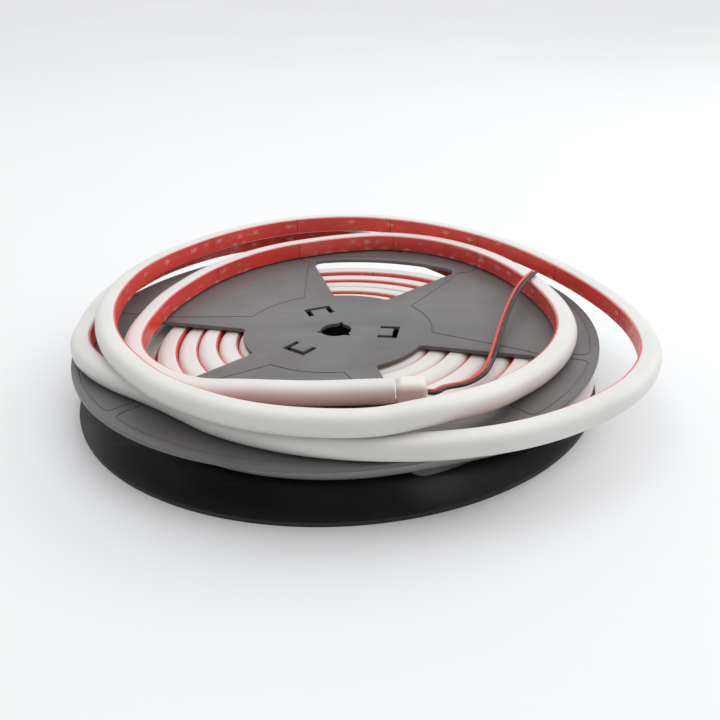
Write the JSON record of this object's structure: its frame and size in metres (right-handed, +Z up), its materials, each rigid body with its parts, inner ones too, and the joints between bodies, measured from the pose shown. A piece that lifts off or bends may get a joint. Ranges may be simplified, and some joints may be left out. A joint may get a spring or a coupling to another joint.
{
  "type": "reel of led neon flex",
  "caption": "Flat plastic reel wound with white silicone neon flex on red-lined tape, its loose end looped on top and ending in a cap with a wire lead.",
  "frame": {"origin": "centre of the part's box, on the surface that the reel lies on", "axes": "+Z up along the reel's axis, +Y away from the picture's camera, +X to its right"},
  "size_m": [0.2712, 0.2744, 0.0457],
  "materials": {
    "grey_plastic": "grey moulded plastic, satin, fine grain",
    "dark_plastic": "near-black moulded plastic, satin",
    "white_silicone": "milky white silicone, soft satin",
    "red_liner": "red plastic release liner on mounting tape, slightly glossy",
    "clear_silicone": "cloudy cream silicone",
    "red_insulation": "red wire insulation",
    "black_insulation": "black wire insulation"
  },
  "bodies": {
    "root": {"bottom_flange": "dark_plastic", "top_flange": "grey_plastic", "barrel": "dark_plastic", "neon_flex_roll": "white_silicone", "neon_flex_loose_turns": "white_silicone", "mounting_tape": "red_liner", "end_cap": "clear_silicone", "lead_wire_red": "red_insulation", "lead_wire_black": "black_insulation"}
  },
  "joints": []
}
